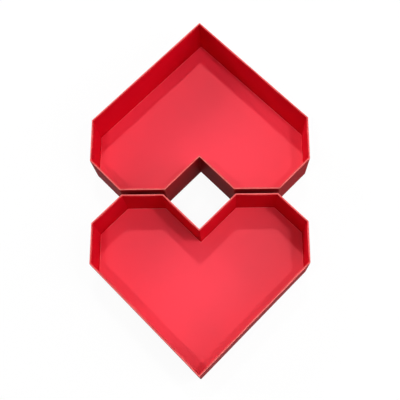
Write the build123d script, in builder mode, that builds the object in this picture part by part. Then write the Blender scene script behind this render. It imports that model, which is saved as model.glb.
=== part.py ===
from build123d import *
from collections import namedtuple
from math import sqrt
import os

# A heart-shaped gift box of wrapped greyboard, taken apart as it lies on a table.
# The lid lies on its top, open side up, at +Y. The base stands at -Y. Lobe faces lobe.
# The origin is at the middle of the table area that the two trays cover together.

# Driving dimensions in millimetres
lid_width = 200.0         # across the straight sides of the lid, outside
side_length = 40.0        # straight side wall of the lid, along Y
shoulder_leg = 28.3       # the 45 degree shoulder wall of the lid, along X and along Y
notch_leg = 31.0          # the 45 degree notch wall of the lid, along X and along Y
lid_height = 43.5         # lid, from the table to its rim

board_thickness = 1.0     # greyboard of the walls and floors
tape_thickness = 0.1      # gummed corner stays, and the glue line beside them
wrap_thickness = 0.2      # paper on the outside
lining_thickness = 0.2    # paper on the inside of the walls
sheet_thickness = 0.3     # face sheet on the outside of a floor
liner_thickness = 0.4     # card on the inside of a floor

stay_leg = 10.0           # a corner stay, from its corner along each wall
wrap_turn = 12.0          # the wrap, turned under the floor
lining_turn = 2.0         # the lining, turned over the rim and down the outside
sheet_margin = 2.0        # the face sheet's edge, inside the outer outline
liner_gap = 0.5           # all round the liner card, off the lining

lid_clearance = 2.0       # on each side, between the base and the lid when it is on
rim_lift = 0.2            # lid's rim above the table when the box is closed

# Layers of a wall, each counted inwards from the tray's outer face
tape_depth = wrap_thickness
board_depth = tape_depth + tape_thickness
lining_depth = board_depth + board_thickness
inside_depth = lining_depth + lining_thickness
flap_depth = board_depth - lining_thickness

# Layers of a floor, each counted upwards from the table
wrap_level = sheet_thickness
board_level = wrap_level + wrap_thickness
lining_level = board_level + board_thickness
inside_level = lining_level + liner_thickness

# The closed lid rests on the base's rim, and its own rim comes down to the table
base_height = lid_height - inside_level + rim_lift
base_depth = inside_depth + lid_clearance
half_width = lid_width / 2
tip_reach = shoulder_leg + side_length + half_width

# Both trays are drawn from the line about which the lid turns over onto the base
turn_line_y = -base_depth * sqrt(2) / 2

# facing is +1 where the tip points to -Y; depth is the tray's outer face inside the lid's
Tray = namedtuple("Tray", "name facing depth height")
base = Tray("base", 1, base_depth, base_height)
lid = Tray("lid", -1, 0.0, lid_height)

WALLS = (
    "notch_right",
    "lobe_right",
    "shoulder_right",
    "side_right",
    "tip_right",
    "tip_left",
    "side_left",
    "shoulder_left",
    "lobe_left",
    "notch_left",
)


def heart(tray, depth):
    """Corners of the heart that lies depth inside the tray's outer face, notch first.

    Every wall moves inwards by the same distance, so a corner between a straight and a 45 degree
    wall slides by (sqrt 2 - 1) of it, and the notch and the tip by sqrt 2 of it.
    """
    inwards = tray.depth + depth
    slide = inwards * (sqrt(2) - 1)
    point_slide = inwards * sqrt(2)
    right = [
        (notch_leg + slide, inwards),
        (half_width - shoulder_leg - slide, inwards),
        (half_width - inwards, shoulder_leg + slide),
        (half_width - inwards, shoulder_leg + side_length - slide),
    ]
    left = [(-x, y) for x, y in reversed(right)]
    notch = (0, notch_leg + point_slide)
    tip = (0, tip_reach - point_slide)
    return [(x, turn_line_y - tray.facing * y) for x, y in [notch, *right, tip, *left]]


def heart_face(tray, depth, level):
    """The whole heart at one level, as a sketch."""
    with BuildSketch(Plane.XY.offset(level)) as face:
        with BuildLine():
            Polyline(*heart(tray, depth), close=True)
        make_face()
    return face.sketch


def heart_band(tray, outer_depth, inner_depth, level):
    """The heart between two depths, open in the middle, as a sketch."""
    with BuildSketch(Plane.XY.offset(level)) as face:
        with BuildLine():
            Polyline(*heart(tray, outer_depth), close=True)
        make_face()
        with BuildLine():
            Polyline(*heart(tray, inner_depth), close=True)
        make_face(mode=Mode.SUBTRACT)
    return face.sketch


def save(piece, name):
    """Label a finished piece and write it."""
    piece.part.label = name
    export_step(piece.part, f"parts/{name}.step")


def floor_board(tray, name):
    """Heart of greyboard that the wall panels stand round."""
    with BuildPart() as board:
        extrude(heart_face(tray, lining_depth, board_level), amount=board_thickness)
    save(board, name)


def wall_panels(tray):
    """Ten straight greyboard walls, each mitred to its neighbours."""
    outer = heart(tray, board_depth)
    inner = heart(tray, lining_depth)
    panel_height = tray.height - lining_thickness - board_level
    for index, wall in enumerate(WALLS):
        follower = (index + 1) % len(WALLS)
        with BuildPart() as panel:
            with BuildSketch(Plane.XY.offset(board_level)):
                with BuildLine():
                    Polyline(outer[index], outer[follower], inner[follower], inner[index], close=True)
                make_face()
            extrude(amount=panel_height)
        save(panel, f"{tray.name}_wall_{wall}")


def corner_stays(tray):
    """Ten strips of tape, each bent round the outside of one corner of the walls."""
    corners = [Vector(*corner) for corner in heart(tray, tape_depth)]
    stay_height = tray.height - lining_turn - board_level
    with BuildPart() as stays:
        extrude(heart_band(tray, tape_depth, board_depth, board_level), amount=stay_height)
        for index, corner in enumerate(corners):
            along = corners[(index + 1) % len(corners)] - corner
            middle = corner + along / 2
            bare_length = along.length - 2 * stay_leg
            bare_wall = Plane((middle.X, middle.Y, board_level), x_dir=along, z_dir=(0, 0, 1))
            with BuildSketch(bare_wall):
                Rectangle(bare_length, 4 * tape_thickness)
            extrude(amount=stay_height, mode=Mode.SUBTRACT)
    save(stays, f"{tray.name}_corner_stays")


def outer_wrap(tray):
    """Paper round the outside of the walls, turned under the floor."""
    wrap_height = tray.height - lining_turn - wrap_level
    with BuildPart() as wrap:
        extrude(heart_band(tray, 0, wrap_thickness, wrap_level), amount=wrap_height)
        extrude(heart_band(tray, 0, wrap_turn, wrap_level), amount=wrap_thickness)
    save(wrap, f"{tray.name}_outer_wrap")


def face_sheet(tray, name):
    """Paper over the outside of the floor, covering the turned-under edge of the wrap."""
    with BuildPart() as sheet:
        extrude(heart_face(tray, sheet_margin, 0), amount=sheet_thickness)
    save(sheet, name)


def wall_lining(tray):
    """Paper up the inside of the walls, over the rim and a little way down the outside."""
    inside_height = tray.height - lining_level
    rim_level = tray.height - lining_thickness
    flap_level = tray.height - lining_turn
    with BuildPart() as lining:
        extrude(heart_band(tray, lining_depth, inside_depth, lining_level), amount=inside_height)
        extrude(heart_band(tray, flap_depth, inside_depth, rim_level), amount=lining_thickness)
        extrude(heart_band(tray, flap_depth, board_depth, flap_level), amount=lining_turn)
    save(lining, f"{tray.name}_wall_lining")


def floor_liner(tray, name):
    """Heart of thin card on the inside of the floor, with a gap all round."""
    with BuildPart() as liner:
        extrude(heart_face(tray, inside_depth + liner_gap, lining_level), amount=liner_thickness)
    save(liner, name)


os.makedirs("parts", exist_ok=True)

floor_board(base, "base_floor_board")
face_sheet(base, "base_bottom_sheet")
floor_liner(base, "base_floor_liner")

floor_board(lid, "lid_top_board")
face_sheet(lid, "lid_top_sheet")
floor_liner(lid, "lid_top_liner")

for tray in (base, lid):
    wall_panels(tray)
    corner_stays(tray)
    outer_wrap(tray)
    wall_lining(tray)

closed_height = base_height + inside_level
print(f"base {base_height:.1f} high, lid {lid_height:.1f} high, closed box {closed_height:.1f} high")
print(f"lid turns over about the line y = {turn_line_y:.2f}")
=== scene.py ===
# %% [markdown]
# # A heart box of wrapped greyboard, opened, with its lid beside it
# A rigid gift box is made of grey pulp board, and everything that the eye meets is paper glued over it.
# The CAD model holds the boards, the tape and plain versions of the papers. In this lesson the papers
# are drawn again with rounded folds, cut edges and wear, and every piece gets a paper or board finish.
# We start by loading the CAD model, which stays where it is, with a helper that reads the box of any of its
# nodes.

import math
from collections import namedtuple

import bpy
import numpy as np
from mathutils import Matrix, Vector


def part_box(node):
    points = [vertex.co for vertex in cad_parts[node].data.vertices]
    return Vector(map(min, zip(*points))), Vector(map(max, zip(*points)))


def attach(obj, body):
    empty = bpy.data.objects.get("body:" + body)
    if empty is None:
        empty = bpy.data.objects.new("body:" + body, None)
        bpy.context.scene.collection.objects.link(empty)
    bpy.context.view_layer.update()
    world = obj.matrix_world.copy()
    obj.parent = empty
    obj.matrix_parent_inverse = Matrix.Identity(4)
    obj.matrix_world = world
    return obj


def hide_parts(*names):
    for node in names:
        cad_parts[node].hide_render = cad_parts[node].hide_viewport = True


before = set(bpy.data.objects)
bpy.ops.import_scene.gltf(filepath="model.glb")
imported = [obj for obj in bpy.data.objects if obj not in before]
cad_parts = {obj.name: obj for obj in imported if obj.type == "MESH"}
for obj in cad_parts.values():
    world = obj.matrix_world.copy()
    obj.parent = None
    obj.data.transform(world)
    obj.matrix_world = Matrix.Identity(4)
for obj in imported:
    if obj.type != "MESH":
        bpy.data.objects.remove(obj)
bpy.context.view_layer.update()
MM = 0.001

# %% [markdown]
# ## Reading the plan of a tray
# Both trays are the same heart with ten straight walls, drawn at two sizes and facing opposite ways.
# We could type the sizes in again, but then the papers would no longer fit if the CAD model changed.
# So the plan is read from the boxes of the CAD nodes. A corner between a straight and a 45 degree wall
# slides by (root 2 - 1) of the depth as a layer moves inwards, which leads from the board's corners,
# a known depth inside, back to the corners of the outer face.

# %% Plan of each tray
ROOT2 = math.sqrt(2)
SLIDE = ROOT2 - 1

# facing is +1 where the lobes point to +Y; notch and lobe lie along X, near and far along Y from the lobes
Tray = namedtuple("Tray", "name facing half lobe_y notch lobe near far")


def read_tray(name):
    """Outer plan of one tray: half its width, and where the corners of its right half lie."""
    wrap_low, wrap_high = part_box(f"{name}_outer_wrap")
    lobe_low, lobe_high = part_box(f"{name}_wall_lobe_right")
    side_low, side_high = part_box(f"{name}_wall_side_right")
    facing = 1 if lobe_high.y > side_high.y else -1
    lobe_y = wrap_high.y if facing > 0 else wrap_low.y
    slide = (wrap_high.x - side_high.x) * SLIDE
    from_lobe = sorted(facing * (lobe_y - y) for y in (side_low.y, side_high.y))
    return Tray(
        name=name,
        facing=facing,
        half=wrap_high.x,
        lobe_y=lobe_y,
        notch=lobe_low.x - slide,
        lobe=lobe_high.x + slide,
        near=from_lobe[0] - slide,
        far=from_lobe[1] + slide,
    )


base = read_tray("base")
lid = read_tray("lid")
for tray in (base, lid):
    print(tray.name, "half width", round(tray.half / MM, 2), "notch", round(tray.notch / MM, 2), "mm")

# %% [markdown]
# ## A loop with rounded corners
# Folded paper never has a perfectly sharp edge. Every outline in this scene, the heart seen from above
# as well as the thin section of a folded paper, is a closed polygon whose corners are softened.
# A Bevel modifier could do that, but it works on the finished mesh and gives every edge the same width.
# Here each corner is a short parabola that leaves one side and joins the next, so each can differ.

# %% Rounded loop
def crowded(steps):
    """Fractions from 0 to just under 1 that crowd towards both ends: half of 1 - cos."""
    return (1 - np.cos(np.pi * np.arange(steps) / steps)) / 2


def rounded_loop(corners, bend, turn_steps, spacings):
    """Closed loop through corners (..., K, 2), as one array of points (..., N, 2).

    A corner is the parabola (1-q)^2 A + 2q(1-q) C + q^2 B, from A, bend before the corner C, to B, bend
    after it. A side is the straight line from one parabola's B to the next one's A, at the fractions
    that spacings gives for it.
    """
    side = np.roll(corners, -1, axis=-2) - corners
    along = side / np.linalg.norm(side, axis=-1, keepdims=True)
    bend = np.broadcast_to(np.asarray(bend)[..., None], corners.shape[:-1] + (1,))
    leave = corners + bend * along
    reach = corners - bend * np.roll(along, 1, axis=-2)
    next_reach = np.roll(reach, -1, axis=-2)
    q = (np.arange(turn_steps) / turn_steps)[:, None]
    points = []
    for k, spacing in enumerate(spacings):
        a, c, b, end = (ends[..., k, None, :] for ends in (reach, corners, leave, next_reach))
        points.append((1 - q) ** 2 * a + 2 * q * (1 - q) * c + q**2 * b)
        points.append(b + np.asarray(spacing)[:, None] * (end - b))
    return np.concatenate(points, axis=-2)


# %% [markdown]
# ## The heart as a path
# The ten corners are written for any depth inside the outer face, as whole arrays, so one call gives the
# heart at every layer of the paper at once. Points crowd towards the corners, where folds and wear are.
# Two more points on one tip wall mark where the wrap's end laps over its start.

# %% Heart path
WALL_COUNT = 10
SHORT_WALL_STEPS = 16          # points along a wall
TIP_WALL_STEPS = 34            # and along a tip wall, which is the longest
PAPER_BEND = 0.7 * MM          # how far from a corner of the walls the paper starts to turn
PAPER_BEND_STEPS = 6
LAP_WALL = 5                   # the first tip wall after the tip
LAP_EDGE = 12.0 * MM           # from the tip to the edge of the lap
LAP_DROP = 0.06 * MM           # length along the wall in which that edge drops


def heart_corners(tray, depth):
    """Ten corners, notch first and then clockwise seen with the lobes up, for an array of depths.

    Each wall moves inwards by the depth. Corners slide by (root 2 - 1) of it, notch and tip by root 2.
    """
    depth = np.asarray(depth, float)
    slide = depth * SLIDE
    point = depth * ROOT2
    right = [
        (tray.notch + slide, depth),
        (tray.lobe - slide, depth),
        (tray.half - depth, tray.near + slide),
        (tray.half - depth, tray.far - slide),
    ]
    left = [(-x, y) for x, y in reversed(right)]
    notch = (0 * depth, tray.notch + point)
    tip = (0 * depth, tray.far + tray.half - point)
    corners = [notch, *right, tip, *left]
    x = np.stack([corner[0] for corner in corners], axis=-1)
    y = np.stack([corner[1] for corner in corners], axis=-1)
    return np.stack([x, tray.lobe_y - tray.facing * y], axis=-1)


def wall_lengths(tray):
    """Length of each of the ten walls on the outer face."""
    corners = heart_corners(tray, 0.0)
    return np.linalg.norm(np.roll(corners, -1, axis=0) - corners, axis=-1)


def wall_spacings(tray):
    """Fractions along each wall. The lapped wall also gets the two sides of the lap's edge."""
    spacings = []
    for wall, length in enumerate(wall_lengths(tray)):
        spacing = crowded(TIP_WALL_STEPS if length > tray.half else SHORT_WALL_STEPS)
        if wall == LAP_WALL:
            spacing = np.sort(np.append(spacing, [LAP_EDGE / length, (LAP_EDGE + LAP_DROP) / length]))
        spacings.append(spacing)
    return spacings


def heart_path(tray, depth):
    """The heart with rounded corners at each depth: (rows, columns, 2)."""
    return rounded_loop(heart_corners(tray, depth), PAPER_BEND, PAPER_BEND_STEPS, wall_spacings(tray))


def corner_distance(tray):
    """How far each column of the path lies from the nearest corner, along the wall, in metres."""
    distances = []
    for spacing, length in zip(wall_spacings(tray), wall_lengths(tray)):
        distances.append(np.zeros(PAPER_BEND_STEPS))
        distances.append(np.minimum(spacing, 1 - spacing) * length)
    return np.concatenate(distances)


def wall_of_column(tray):
    """Number of the wall that each column of the path belongs to, its first corner included."""
    return np.repeat(np.arange(WALL_COUNT), [PAPER_BEND_STEPS + len(s) for s in wall_spacings(tray)])


print("columns round one heart:", len(corner_distance(base)))

# %% [markdown]
# ## From a grid of points to a mesh
# A folded paper is a ring: its section is a closed loop, and the path round the heart is a closed loop,
# so the grid of points joins up in both directions. A flat sheet is a stack of hearts with one point in
# the middle of each face. Both are closed, and the sign of the enclosed volume tells whether the faces
# point outwards. Values for the finish, such as how much a point is folded, go in as attributes.

# %% Grid to mesh
def mesh_piece(name, points, faces, attributes):
    """A mesh object at the origin from points (n, 3) and arrays of faces, which are turned outwards."""
    triangles = np.concatenate([f[:, [0, k, k + 1]] for f in faces for k in range(1, f.shape[1] - 1)])
    a, b, c = points[triangles].transpose(1, 0, 2)
    if np.einsum("ij,ij->", a, np.cross(b, c)) < 0:
        faces = [f[:, ::-1] for f in faces]
    sizes = np.concatenate([np.full(len(f), f.shape[1]) for f in faces])
    starts = np.concatenate([[0], np.cumsum(sizes)[:-1]])
    mesh = bpy.data.meshes.new(name)
    mesh.vertices.add(len(points))
    mesh.vertices.foreach_set("co", points.astype(np.float32).ravel())
    mesh.loops.add(int(sizes.sum()))
    mesh.loops.foreach_set("vertex_index", np.concatenate([f.ravel() for f in faces]).astype(np.int32))
    mesh.polygons.add(len(sizes))
    mesh.polygons.foreach_set("loop_start", starts.astype(np.int32))
    mesh.polygons.foreach_set("use_smooth", np.ones(len(sizes), bool))
    mesh.update(calc_edges=True)
    for key, values in attributes.items():
        layer = mesh.attributes.new(key, "FLOAT", "POINT")
        layer.data.foreach_set("value", values.astype(np.float32).ravel())
    if mesh.validate():
        raise ValueError(f"{name} had faces that Blender had to mend")
    piece = bpy.data.objects.new(name, mesh)
    bpy.context.scene.collection.objects.link(piece)
    print(name, len(triangles), "triangles")
    return piece


def grid_quads(rows, columns, ring):
    """Faces between neighbouring rows and columns. Columns close up, and rows do too where ring is set."""
    index = np.arange(rows * columns).reshape(rows, columns)
    beside = np.roll(index, -1, axis=1)
    quads = np.stack([index, beside, np.roll(beside, -1, axis=0), np.roll(index, -1, axis=0)], axis=-1)
    return (quads if ring else quads[:-1]).reshape(-1, 4)


def raised(plan, level):
    """Points (rows, columns, 3) from a plan (rows, columns, 2) and one level for each row."""
    return np.concatenate([plan, np.broadcast_to(level[:, None, None], plan.shape[:2] + (1,))], axis=-1)


def folded_paper(name, points, **attributes):
    """A ring of paper from a grid (rows, columns, 3) that closes in both directions."""
    rows, columns = points.shape[:2]
    return mesh_piece(name, points.reshape(-1, 3), [grid_quads(rows, columns, ring=True)], attributes)


def flat_sheet(name, points, poles, **attributes):
    """A sheet from a grid of rings (rows, columns, 3), with a fan from each end ring to its pole."""
    rows, columns = points.shape[:2]
    first = np.arange(columns)
    last = first + (rows - 1) * columns
    pole = rows * columns
    fans = [
        np.stack([np.roll(first, -1), first, np.full(columns, pole)], axis=-1),
        np.stack([last, np.roll(last, -1), np.full(columns, pole + 1)], axis=-1),
    ]
    attributes = {key: np.append(values.ravel(), [0, 0]) for key, values in attributes.items()}
    points = np.concatenate([points.reshape(-1, 3), poles])
    return mesh_piece(name, points, [grid_quads(rows, columns, ring=False), *fans], attributes)


# %% [markdown]
# ## Unevenness of hand-laid paper
# Glued paper is never quite flat: it lifts a little from the board between the places where it was rubbed
# down. A noise function with random numbers would do, but three sine waves that run in different
# directions are enough for such gentle bulges, and they give the same result on every run.

# %% Bulges
GOLDEN_ANGLE = math.radians(137.5)
WAVE_STRETCH = np.array([1.0, 0.73, 1.31])
WAVE_CLIMB = 0.6               # how much a wave also runs up the wall


def bulge(points, spacing, phase):
    """Smooth value from 0 to 1: the mean of three sine waves, spacing apart, at golden-angle directions.

    Each wave is shifted by twice the angle of its direction.
    """
    turns = phase + GOLDEN_ANGLE * np.arange(3)
    ways = np.stack([np.cos(turns), np.sin(turns), np.full(3, WAVE_CLIMB)])
    waves = np.sin(2 * np.pi * (points @ ways) / (spacing * WAVE_STRETCH) + turns * 2)
    return 0.5 + waves.mean(axis=-1) / 2


def ease(value):
    """0 below 0, 1 above 1 and a smooth step between, 3v^2 - 2v^3."""
    value = np.clip(value, 0, 1)
    return value * value * (3 - 2 * value)


# %% [markdown]
# ## Carrying a section round the heart
# Lining and wrap are both strips of paper with one thin section all the way round. We could sweep a curve
# with a bevel object, but the heart's corners would pinch it. Here each point of the section has a depth
# inside the outer face and a level above the table, and the heart is simply drawn at every depth.

# %% Carried section
CUT_BEND = 0.02 * MM           # softening of a cut edge
SECTION_BEND_STEPS = 5


def carried(tray, section, bends, steps):
    """Where a closed section (depth, level), with bends at its corners, comes to lie round the heart.

    Returns points (rows, columns, 3), the way inwards at each (rows, columns, 2) and each row's depth.
    """
    spacings = [crowded(count) for count in steps]
    depth, level = rounded_loop(np.array(section), np.array(bends), SECTION_BEND_STEPS, spacings).T
    plan = heart_path(tray, depth)
    inwards = (heart_path(tray, depth + MM) - plan) / MM
    return raised(plan, level), inwards, depth


# %% [markdown]
# ## Wall lining
# The lining is a strip of red paper glued up the inside of the walls, folded over the rim and finished a
# few millimetres down the outside. It is the most visible piece of the box, because its fold is the pale
# line that draws the heart; that pale line is a painted highlight. The section is a thin hook: foot, inner
# face, fold over the rim, short flap.
# The foot is eased out to the edge of the floor's card. The inner face bulges a little off the board, and
# the flap is slit at each corner so that it can fold, which leaves a small V where the board looks out.

# %% Lining
CARD_NODES = {"base": "base_floor_liner", "lid": "lid_top_liner"}
LINING_STEPS = (1, 1, 3, 22, 5, 5, 1, 2, 2, 2)    # points along each side of the section, foot first
RIM_BEND = 0.5 * MM            # softening of the fold over the rim
FOOT_SHARE = 0.9               # how far the foot is eased out across the gap beside the card
FOOT_RISE = 1.2 * MM           # height from which it is eased out
FOOT_BEND = FOOT_RISE / 3      # softening of the crease there
LINING_BULGE = 0.45 * MM       # most that the lining lifts off the board
BULGE_SPACING = 46.0 * MM
FLAT_FOOT = 8.0 * MM           # the lining lies closer to the board up to here from its lower edge
FLAT_CORNER = 10.0 * MM        # and up to here from each corner
SLIT_HALF_WIDTH = 0.9 * MM
SLIT_SHARE = 0.4               # how much of the flap's height a slit takes away
RIM_HIGHLIGHT_REACH = 1.1 * MM          # how far the painted highlight spreads down from the rim
INNER_HIGHLIGHT_SHARE = 0.3               # painted highlight at the inner face, as a share of that at the flap


def wall_lining(tray):
    """The hooked section (depth, level) carried round the heart, then slit and bulged."""
    board_low, board_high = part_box(f"{tray.name}_wall_side_right")
    lining_low, lining_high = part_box(f"{tray.name}_wall_lining")
    card_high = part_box(CARD_NODES[tray.name])[1]
    low, rim, board_top = lining_low.z, lining_high.z, board_high.z
    flap_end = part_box(f"{tray.name}_outer_wrap")[1].z
    flap = tray.half - lining_high.x
    outer = tray.half - board_high.x
    inner = tray.half - board_low.x
    face = inner + rim - board_top
    foot = face + FOOT_SHARE * (tray.half - card_high.x - face)
    section = [
        (inner, low),
        (foot, low),
        (foot, card_high.z),
        (face, low + FOOT_RISE),
        (face, rim),
        (flap, rim),
        (flap, flap_end),
        (outer, flap_end),
        (outer, board_top),
        (inner, board_top),
    ]
    bends = [CUT_BEND] * 3 + [FOOT_BEND, RIM_BEND, RIM_BEND] + [CUT_BEND] * 4
    points, inwards, depth = carried(tray, section, bends, LINING_STEPS)
    corner = corner_distance(tray)

    slit = SLIT_SHARE * np.clip(1 - corner / SLIT_HALF_WIDTH, 0, 1)
    on_flap = (depth < outer + CUT_BEND)[:, None]
    level = np.where(on_flap, rim - (rim - points[..., 2]) * (1 - slit), points[..., 2])
    points[..., 2] = level

    off_flap = ease((depth - flap) / (face - flap))[:, None]
    lift = off_flap * ease((level - low) / FLAT_FOOT) * ease(corner / FLAT_CORNER)
    lift = lift * bulge(points, BULGE_SPACING, tray.facing)
    points[..., :2] += inwards * (LINING_BULGE * lift)[..., None]

    # painted highlight along the fold over the rim: strongest on the flap, weaker on the inner face
    to_flap = ease((face - depth) / (face - flap))[:, None]
    fold = ease(1 - (rim - level) / RIM_HIGHLIGHT_REACH) * (INNER_HIGHLIGHT_SHARE + (1 - INNER_HIGHLIGHT_SHARE) * to_flap)
    return folded_paper(f"{tray.name}_lining_paper", points, fold=fold)


linings = {tray.name: wall_lining(tray) for tray in (base, lid)}

# %% [markdown]
# ## Outer wrap
# The wrap is a strip of deep red paper round the outside. It is turned under the floor at the bottom and
# its end laps over its start on one tip wall, which shows as a fine upright edge. The section is an L
# with a rounded heel, carried round the heart. The lap only moves the outer face of a few columns.

# %% Wrap
WRAP_STEPS = (14, 5, 1, 3, 4, 1)                  # points along each side of the section, outside first
HEEL_BEND = 0.6 * MM
TURN_UNDER = 11.5 * MM         # how far the wrap reaches in under the floor
LAP_RISE = 0.12 * MM           # how far the lap stands off the wall
LAP_EASE = 3.0 * MM            # length from the tip in which it rises
RUBBED_REACH = 0.8 * MM        # how far rubbing spreads from a corner or the heel
RUBBED_ENDS = 9.0 * MM         # an upright corner is rubbed most within this of its ends
MIDDLE_RUB = 0.45              # and by this share between them
HEEL_RUB = 0.5                 # the heel's share


def outer_wrap(tray):
    """The L section (depth, level) carried round the heart, with the lap raised off the wall."""
    low, top = (corner.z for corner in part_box(f"{tray.name}_outer_wrap"))
    floor_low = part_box(f"{tray.name}_wall_side_right")[0].z
    thick = floor_low - low
    section = [
        (0, top),
        (0, low),
        (TURN_UNDER, low),
        (TURN_UNDER, floor_low),
        (thick, floor_low),
        (thick, top),
    ]
    bends = [CUT_BEND, HEEL_BEND] + [CUT_BEND] * 4
    points, inwards, depth = carried(tray, section, bends, WRAP_STEPS)
    level = points[..., 2]
    corner = corner_distance(tray)

    along = np.linalg.norm(points[0, :, :2] - heart_corners(tray, 0.0)[LAP_WALL], axis=-1)
    lapped = (wall_of_column(tray) == LAP_WALL) & (along < LAP_EDGE + LAP_DROP / 2) & (corner > 0)
    outer_face = (depth < thick / 2)[:, None] & (level > low + HEEL_BEND)
    rise = LAP_RISE * ease(along / LAP_EASE) * (outer_face & lapped)
    points[..., :2] -= inwards * rise[..., None]

    to_end = ease(1 - np.minimum(level - low, top - level) / RUBBED_ENDS)
    edge = ease(1 - corner / RUBBED_REACH) * (MIDDLE_RUB + (1 - MIDDLE_RUB) * to_end)
    heel = HEEL_RUB * ease(1 - (level - low) / RUBBED_REACH)
    return folded_paper(f"{tray.name}_wrap_paper", points, fold=np.maximum(edge, heel))


wraps = {tray.name: outer_wrap(tray) for tray in (base, lid)}

# %% [markdown]
# ## Flat sheets
# Two hearts close each floor: a paper sheet below, which hides the turned-under wrap, and a red card
# inside. A flat polygon would do for the shape, but the card is slightly warped and its cut edge is the
# thin light line between floor and wall. So each sheet is a stack of hearts: rings that shrink to a
# middle point on both faces, joined by a softened edge.

# %% Sheets
SHEET_NODES = {"base": "base_bottom_sheet", "lid": "lid_top_sheet"}
SHEET_RINGS = 14
EDGE_STEPS = 4                 # points on each half of the softened edge
EDGE_SOFTNESS = 0.4            # its radius, as a share of the sheet's thickness
CUT_WEAR = 0.7 * MM            # how far the knife's pale edge reaches on to the top
CUT_FADE = np.array([0, 0.5])  # how pale the two rings are that it fades over, the inner one first
CARD_WARP = 0.25 * MM
WARP_SPACING = 95.0 * MM
WARP_PHASE = 2.0


def heart_middle(tray):
    """A point from which every part of the heart's outline can be seen straight."""
    return np.array([0.0, tray.lobe_y - tray.facing * (tray.near + tray.far) / 2])


def heart_sheet(tray, name, node, warp):
    """Rings from the middle of the top, over the softened edge, to the middle of the underside."""
    low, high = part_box(node)
    depth = tray.half - high.x
    soft = EDGE_SOFTNESS * (high.z - low.z)
    turn = np.linspace(0, np.pi / 2, EDGE_STEPS)
    over, under = soft * (1 - np.sin(turn)), soft * (1 - np.cos(turn))
    pale_zone = heart_path(tray, depth + CUT_WEAR * (1 - CUT_FADE))
    edge = heart_path(tray, depth + np.concatenate([over, under]))
    middle = heart_middle(tray)
    share = np.sqrt(np.arange(1, SHEET_RINGS) / SHEET_RINGS)[:, None, None]
    top = np.concatenate([middle + share * (pale_zone[0] - middle), pale_zone])
    bottom = middle + share[::-1] * (edge[-1] - middle)
    plan = np.concatenate([top, edge, bottom])
    level = np.concatenate([
        np.full(len(top), high.z),
        high.z - under,
        low.z + over,
        np.full(len(bottom), low.z),
    ])
    points = raised(plan, level)
    poles = np.array([[*middle, high.z], [*middle, low.z]])
    for grid in (points, poles):
        grid[..., 2] += warp * bulge(grid * [1, 1, 0], WARP_SPACING, WARP_PHASE + tray.facing)
    plain_rings = len(top) - len(pale_zone)
    cut = np.concatenate([np.zeros(plain_rings), CUT_FADE, np.ones(len(edge)), np.zeros(len(bottom))])
    return flat_sheet(name, points, poles, cut=cut[:, None] * np.ones(plan.shape[1]))


bottoms = {
    "base": heart_sheet(base, "base_bottom_paper", SHEET_NODES["base"], warp=0),
    "lid": heart_sheet(lid, "lid_top_paper", SHEET_NODES["lid"], warp=0),
}
cards = {
    "base": heart_sheet(base, "base_floor_card", CARD_NODES["base"], CARD_WARP),
    "lid": heart_sheet(lid, "lid_top_card", CARD_NODES["lid"], CARD_WARP),
}

# %% Bodies and nodes
for tray in (base, lid):
    stands_for = (
        (linings[tray.name], f"{tray.name}_wall_lining", "lining_paper"),
        (wraps[tray.name], f"{tray.name}_outer_wrap", "wrap_paper"),
        (bottoms[tray.name], SHEET_NODES[tray.name], "face_sheet_paper"),
        (cards[tray.name], CARD_NODES[tray.name], "liner_card"),
    )
    for piece, node, slot in stands_for:
        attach(piece, tray.name)
        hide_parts(node)
        print(piece.name, "replaces", node)

# %% [markdown]
# ## Colours and nodes
# Colours are written as sRGB hex values, as a paint program shows them, and turned to linear light once.
# One small helper adds any node, sets its inputs or links them, and hands it back. Patterns are sized in
# millimetres, as they are on the real paper, and turned to a scale on Object coordinates.

# %% Helpers for materials
def linear(hex_colour):
    """sRGB hex to linear RGBA: values over 0.04045 go through ((c + 0.055) / 1.055) ^ 2.4."""
    srgb = [int(hex_colour[k:k + 2], 16) / 255 for k in (1, 3, 5)]
    return (*(c / 12.92 if c <= 0.04045 else ((c + 0.055) / 1.055) ** 2.4 for c in srgb), 1.0)


def add_node(tree, kind, inputs=None, **settings):
    """Adds one node. Settings are its properties, and inputs give each socket a value or a link."""
    node = tree.nodes.new(kind)
    for key, value in settings.items():
        setattr(node, key, value)
    for socket, value in (inputs or {}).items():
        if isinstance(value, bpy.types.NodeSocket):
            tree.links.new(value, node.inputs[socket])
        else:
            node.inputs[socket].default_value = value
    return node


def per(size_mm):
    """Scale of a pattern on Object coordinates, in metres, whose features are size_mm apart."""
    return 1000.0 / size_mm


def start_material(name, **sockets):
    """A new material with a Principled shader: its node tree, the shader and the Object coordinates."""
    material = bpy.data.materials.new(name)
    material.use_nodes = True
    tree = material.node_tree
    tree.nodes.clear()
    shader = add_node(tree, "ShaderNodeBsdfPrincipled", sockets)
    add_node(tree, "ShaderNodeOutputMaterial", {"Surface": shader.outputs[0]})
    place = add_node(tree, "ShaderNodeTexCoord").outputs["Object"]
    print("material", name)
    return material, tree, shader, place


# %% [markdown]
# ## What the red papers share
# Lining, card and wrap are dyed papers with a thin coating. The eye gets a red that drifts a little,
# because the glue below dries unevenly, and a fine tooth. The coating is paler where it has rubbed off
# or been cut. Along the lining's fold over the rim there is also a pale line, and that line is a painted
# highlight. Each could have its own node tree, but one function with named values makes the papers easy
# to compare. The pale colour follows an attribute of the mesh, so it stays on its fold from every side,
# and a noise breaks it up into patches.

# %% Red paper
PAPER_IOR = 1.5
PAPER_TOOTH_MM = 0.9           # much coarser than real fibres, which would not show
PAPER_DETAIL = 4.0             # finer layers in each noise
PAPER_RELIEF = 0.05 * MM
PAPER_RELIEF_SHARE = 0.2
PATCH_RANGE = (0.3, 0.7)       # the part of the noise's range that wear is spread over

# attribute of the mesh, paler colour, size of its patches, and least and most of it in a patch
WearAndHighlight = namedtuple("WearAndHighlight", "attribute pale patch_mm least most")


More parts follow.
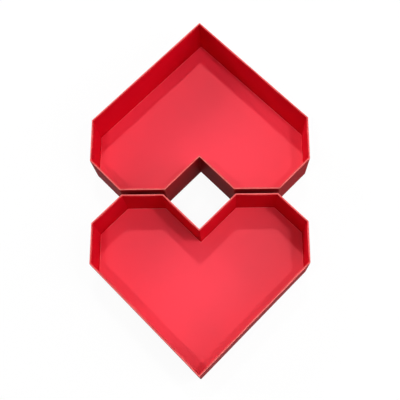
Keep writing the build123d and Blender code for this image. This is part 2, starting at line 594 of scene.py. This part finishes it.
def red_paper(name, reds, cloud_mm, specular, roughness, wear_and_highlight):
    """Two reds mixed by a cloudy noise; the pale colour comes in by the attribute times a patchy noise.

    A noise for the tooth moves the roughness between its two values and gives a slight relief.
    """
    material, tree, shader, place = start_material(
        name, **{"Specular IOR Level": specular, "IOR": PAPER_IOR}
    )
    noises = [
        add_node(tree, "ShaderNodeTexNoise", {"Vector": place, "Scale": per(size), "Detail": PAPER_DETAIL})
        for size in (cloud_mm, wear_and_highlight.patch_mm, PAPER_TOOTH_MM)
    ]
    cloud, patch, tooth = (noise.outputs["Fac"] for noise in noises)
    red = add_node(
        tree, "ShaderNodeMix",
        {"Factor": cloud, "A": linear(reds[0]), "B": linear(reds[1])},
        data_type="RGBA",
    )
    pale_attribute = add_node(tree, "ShaderNodeAttribute", attribute_name=wear_and_highlight.attribute)
    patchy = add_node(
        tree, "ShaderNodeMapRange",
        {
            "Value": patch,
            "From Min": PATCH_RANGE[0],
            "From Max": PATCH_RANGE[1],
            "To Min": wear_and_highlight.least,
            "To Max": wear_and_highlight.most,
        },
    )
    pale_zone = add_node(
        tree, "ShaderNodeMath",
        {0: pale_attribute.outputs["Fac"], 1: patchy.outputs["Result"]},
        operation="MULTIPLY",
    )
    colour = add_node(
        tree, "ShaderNodeMix",
        {"Factor": pale_zone.outputs[0], "A": red.outputs["Result"], "B": linear(wear_and_highlight.pale)},
        data_type="RGBA",
    )
    rough = add_node(
        tree, "ShaderNodeMapRange",
        {"Value": tooth, "To Min": roughness[0], "To Max": roughness[1]},
    )
    relief = add_node(
        tree, "ShaderNodeBump",
        {"Height": tooth, "Strength": PAPER_RELIEF_SHARE, "Distance": PAPER_RELIEF},
    )
    tree.links.new(colour.outputs["Result"], shader.inputs["Base Color"])
    tree.links.new(rough.outputs["Result"], shader.inputs["Roughness"])
    tree.links.new(relief.outputs["Normal"], shader.inputs["Normal"])
    return material


# %% [markdown]
# ## Lining paper
# Red cover paper, coated and left matt: a deep even red with hardly any shine. Along the fold over the
# rim, a paler, nearly unbroken line is a painted highlight.

# %% Matt coated lining paper
lining_finish = red_paper(
    "matt_coated_lining_paper",
    reds=("#D00320", "#C5031B"),
    cloud_mm=22,
    specular=0.04,
    roughness=(0.42, 0.54),
    # the pale colour along the rim's fold is a painted highlight
    wear_and_highlight=WearAndHighlight("fold", pale="#F88682", patch_mm=3.0, least=0.55, most=0.9),
)

# %% [markdown]
# ## Liner card
# A thicker card of nearly the same red. It looks a little pinker, because its coating is smoother and
# gives back more of the light from above. The knife has left a pale core here and there along its edge.

# %% Coated liner card
card_finish = red_paper(
    "coated_liner_card",
    reds=("#F90A37", "#EF0933"),
    cloud_mm=35,
    specular=0.81,
    roughness=(0.56, 0.66),
    wear_and_highlight=WearAndHighlight("cut", pale="#F27A79", patch_mm=9.0, least=0.0, most=1.0),
)

# %% [markdown]
# ## Wrap paper
# The outside is red paper with a satin coating, which shows only as a sheen at a glancing angle.
# It is drawn a deep red, darker than the red inside, and that darkening is painted shade.
# Handling has rubbed it a little lighter along the corners and the heel.

# %% Satin wrap paper
wrap_finish = red_paper(
    "satin_wrap_paper",
    # deep red: its darkening against the red inside is painted shade
    reds=("#9E0E17", "#8D0B12"),
    cloud_mm=15,
    specular=0.01,
    roughness=(0.45, 0.6),
    wear_and_highlight=WearAndHighlight("fold", pale="#DC5E58", patch_mm=4.0, least=0.08, most=0.32),
)

# %% [markdown]
# ## Greyboard and gummed tape
# Both stay inside the box, and only show at the slit corners of the lining or when the model is taken
# apart. Greyboard is pressed waste paper: grey, with darker and lighter flecks. The tape is brown kraft.

# %% Greyboard and tape
FIBRE_SPECULAR = 0.1
FIBRE_ROUGHNESS = 0.9
FIBRE_DETAIL = 6.0             # finer layers in the noise
FIBRE_RELIEF = 0.1 * MM
FIBRE_RELIEF_SHARE = 0.4
FLECK_RANGE = (0.52, 0.68)     # a narrow part of the noise's range, so that flecks have an edge
FLECK_SHARE = 0.7


def pressed_fibre(name, main, fleck, fleck_mm):
    """Flecked pulp: a noise, stretched into a steep step, drops flecks on the main colour."""
    material, tree, shader, place = start_material(
        name, **{"Specular IOR Level": FIBRE_SPECULAR, "Roughness": FIBRE_ROUGHNESS}
    )
    grain = add_node(
        tree, "ShaderNodeTexNoise",
        {"Vector": place, "Scale": per(fleck_mm), "Detail": FIBRE_DETAIL},
    )
    step = add_node(
        tree, "ShaderNodeMapRange",
        {
            "Value": grain.outputs["Fac"],
            "From Min": FLECK_RANGE[0],
            "From Max": FLECK_RANGE[1],
            "To Max": FLECK_SHARE,
        },
    )
    colour = add_node(
        tree, "ShaderNodeMix",
        {"Factor": step.outputs["Result"], "A": linear(main), "B": linear(fleck)},
        data_type="RGBA",
    )
    relief = add_node(
        tree, "ShaderNodeBump",
        {"Height": grain.outputs["Fac"], "Strength": FIBRE_RELIEF_SHARE, "Distance": FIBRE_RELIEF},
    )
    tree.links.new(colour.outputs["Result"], shader.inputs["Base Color"])
    tree.links.new(relief.outputs["Normal"], shader.inputs["Normal"])
    return material


board_finish = pressed_fibre("pressed_greyboard", main="#A59F94", fleck="#6F6A62", fleck_mm=1.2)
tape_finish = pressed_fibre("gummed_kraft_tape", main="#B98E5E", fleck="#8F6A42", fleck_mm=0.9)

# %% [markdown]
# ## Dressing the pieces
# New papers take their finish by kind, and each CAD node that is still shown takes board or tape.

# %% Assign finishes
def dress(piece, finish):
    """The piece's only material becomes finish."""
    piece.data.materials.clear()
    piece.data.materials.append(finish)


for tray in (base, lid):
    dress(linings[tray.name], lining_finish)
    dress(cards[tray.name], card_finish)
    dress(wraps[tray.name], wrap_finish)
    dress(bottoms[tray.name], wrap_finish)
for name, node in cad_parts.items():
    if name.endswith("_corner_stays"):
        dress(node, tape_finish)
    elif "_wall_" in name or name.endswith("_board"):
        dress(node, board_finish)

# %% [markdown]
# ## Table and backdrop
# The table is plain and pale, and a wide round screen stands behind it, so that there is a background
# from every side. Seen directly, or in a glossy surface, both are nearly all their own white, so the
# background stays white while the object's shadow still shows. For the light that bounces on to the
# object they are plain matt grey, and the world adds a weak even light.

# %% Table, backdrop and world
TABLE_RADIUS = 3.0
TABLE_MIDDLE = 0.5             # radius of the flat disc in the middle
TABLE_SIDES = 48
TABLE_DROP = 0.1 * MM          # below the object, so that no two faces share a plane
CURVE_RADIUS = 1.0             # where the table turns up into the screen
CURVE_STEPS = 8
SCREEN_HEIGHT = 3.0
OWN_WHITE = 0.94               # share of its own white where the table is seen
BOUNCE_GREY = "#A8A8A8"        # the table's colour for bounced light
WORLD_LIGHT = 0.02


def painted_table():
    """Matt grey for bounced light; where it is seen, mostly its own white over matt white."""
    material = bpy.data.materials.new("painted_table")
    material.use_nodes = True
    tree = material.node_tree
    tree.nodes.clear()
    path = add_node(tree, "ShaderNodeLightPath")
    rays = [path.outputs[name] for name in ("Is Camera Ray", "Is Glossy Ray", "Is Transmission Ray")]
    either = add_node(tree, "ShaderNodeMath", {0: rays[0], 1: rays[1]}, operation="MAXIMUM")
    seen = add_node(tree, "ShaderNodeMath", {0: either.outputs[0], 1: rays[2]}, operation="MAXIMUM")
    tone = add_node(
        tree, "ShaderNodeMix",
        {"Factor": seen.outputs[0], "A": linear(BOUNCE_GREY), "B": linear("#FFFFFF")},
        data_type="RGBA",
    )
    matt = add_node(tree, "ShaderNodeBsdfDiffuse", {"Color": tone.outputs["Result"]})
    white = add_node(tree, "ShaderNodeEmission", {"Color": linear("#FFFFFF"), "Strength": 1.0})
    share = add_node(tree, "ShaderNodeMath", {0: seen.outputs[0], 1: OWN_WHITE}, operation="MULTIPLY")
    both = add_node(
        tree, "ShaderNodeMixShader", {0: share.outputs[0], 1: matt.outputs[0], 2: white.outputs[0]}
    )
    add_node(tree, "ShaderNodeOutputMaterial", {"Surface": both.outputs[0]})
    return material


def table_and_screen():
    """A disc that turns up into a round screen: rings of growing radius, then of growing height."""
    turn = np.linspace(0, 2 * np.pi, TABLE_SIDES, endpoint=False)
    curve = np.linspace(0, np.pi / 2, CURVE_STEPS)
    flat = TABLE_RADIUS - CURVE_RADIUS
    radius = np.concatenate([[TABLE_MIDDLE], flat + CURVE_RADIUS * np.sin(curve), [TABLE_RADIUS]])
    height = np.concatenate([[0.0], CURVE_RADIUS * (1 - np.cos(curve)), [SCREEN_HEIGHT]]) - TABLE_DROP
    rings = np.stack([radius[:, None] * np.cos(turn), radius[:, None] * np.sin(turn)], axis=-1)
    quads = grid_quads(len(radius), TABLE_SIDES, ring=False)
    faces = [list(range(TABLE_SIDES)), *quads[:, ::-1].tolist()]
    mesh = bpy.data.meshes.new("table_and_screen")
    mesh.from_pydata(raised(rings, height).reshape(-1, 3).tolist(), [], faces)
    mesh.materials.append(painted_table())
    table = bpy.data.objects.new("table_and_screen", mesh)
    bpy.context.scene.collection.objects.link(table)
    print("table", TABLE_RADIUS, "m in radius, screen", SCREEN_HEIGHT, "m high")


table_and_screen()
world = bpy.data.worlds.new("studio")
world.use_nodes = True
world.node_tree.nodes["Background"].inputs["Color"].default_value = linear("#FFFFFF")
world.node_tree.nodes["Background"].inputs["Strength"].default_value = WORLD_LIGHT
bpy.context.scene.world = world

# %% [markdown]
# ## Lamps
# The photograph shows soft-edged bands of shade inside the trays, one for each of three ceiling lamps.
# How far a band reaches from its wall, against the wall's height, gives the lamp's direction, and how
# much darker the band is gives its share of the light. Five more lamps, wide and set lower, stand for light
# that comes in from the sides of the room. They have no band of their own: they leave the corner at the
# lid's tip dark and make its two walls brighter away from there.

# %% Lamps
# shadow is the reach of a wall's shade in X and Y for each unit of its height, measured at the spot over;
# height and width are the lamp's own, and share is its part of the light that makes paper full white
Lamp = namedtuple("Lamp", "shadow over height width share")
LAMPS = {
    "back": Lamp(shadow=(-0.02, -0.52), over=(0.0, 0.04), height=2.2, width=0.12, share=0.196),
    "front_left": Lamp(shadow=(0.16, 0.20), over=(-0.09, -0.04), height=1.1, width=0.04, share=0.144),
    "right": Lamp(shadow=(-0.29, 0.06), over=(0.08, -0.02), height=0.8, width=0.05, share=0.163),
    "soft_right": Lamp(shadow=(-0.8, 0.3), over=(0.02, -0.07), height=0.5, width=0.4, share=0.232),
    "low_right": Lamp(shadow=(-2.0, 0.2), over=(0.0, 0.0), height=0.6, width=0.6, share=0.099),
    "low_back_right": Lamp(shadow=(-2.8, -0.6), over=(0.0, 0.0), height=0.6, width=0.6, share=0.057),
    "low_back_left": Lamp(shadow=(1.5, -1.3), over=(0.0, 0.0), height=0.6, width=0.6, share=0.242),
    "low_left": Lamp(shadow=(2.8, -0.8), over=(0.0, 0.0), height=0.6, width=0.6, share=0.056),
}


def disc_lamp(name, lamp):
    """A disc lamp whose shadow of a wall over one spot reaches lamp.shadow for each unit of height.

    White paper on that spot gets lamp.share of full white: power = share * pi^2 * distance^3 / height.
    """
    spot = Vector((*lamp.over, 0.0))
    way = Vector((-lamp.shadow[0], -lamp.shadow[1], 1.0)) * lamp.height
    light = bpy.data.lights.new(name, "AREA")
    light.shape = "DISK"
    light.size = lamp.width
    light.energy = lamp.share * math.pi**2 * way.length**3 / lamp.height
    holder = bpy.data.objects.new(name, light)
    holder.location = spot + way
    holder.rotation_euler = way.to_track_quat("Z", "Y").to_euler()
    holder.visible_camera = False
    bpy.context.scene.collection.objects.link(holder)
    print("lamp", name, round(light.energy, 2), "W")


for name, lamp in LAMPS.items():
    disc_lamp(name, lamp)

# %% [markdown]
# ## Camera
# The photograph is taken by hand from above the base, tilted forward a little, with the frame turned.
# The lens follows from the focal length in pixels, which the two hearts' outlines gave.

# %% Camera
CAMERA_PLACE = (0.0236, -0.1907, 0.6433)
CAMERA_TILT = math.radians(16.68)
CAMERA_HEADING = math.radians(7.34)
CAMERA_ROLL = math.radians(-7.60)
IMAGE_WIDTH = 400              # pixels
FOCAL_PIXELS = 703.0
SENSOR_WIDTH = 36.0            # millimetres, as Blender counts sensors and lenses

camera_data = bpy.data.cameras.new("camera")
camera_data.sensor_width = SENSOR_WIDTH
camera_data.lens = FOCAL_PIXELS / IMAGE_WIDTH * SENSOR_WIDTH
camera = bpy.data.objects.new("camera", camera_data)
turn = Matrix.Rotation(CAMERA_HEADING, 4, "Z") @ Matrix.Rotation(CAMERA_TILT, 4, "X")
camera.matrix_world = Matrix.Translation(CAMERA_PLACE) @ turn @ Matrix.Rotation(CAMERA_ROLL, 4, "Z")
bpy.context.scene.collection.objects.link(camera)
bpy.context.scene.camera = camera
bpy.context.scene.view_settings.view_transform = "Standard"
print("lens", round(camera_data.lens, 1), "mm")
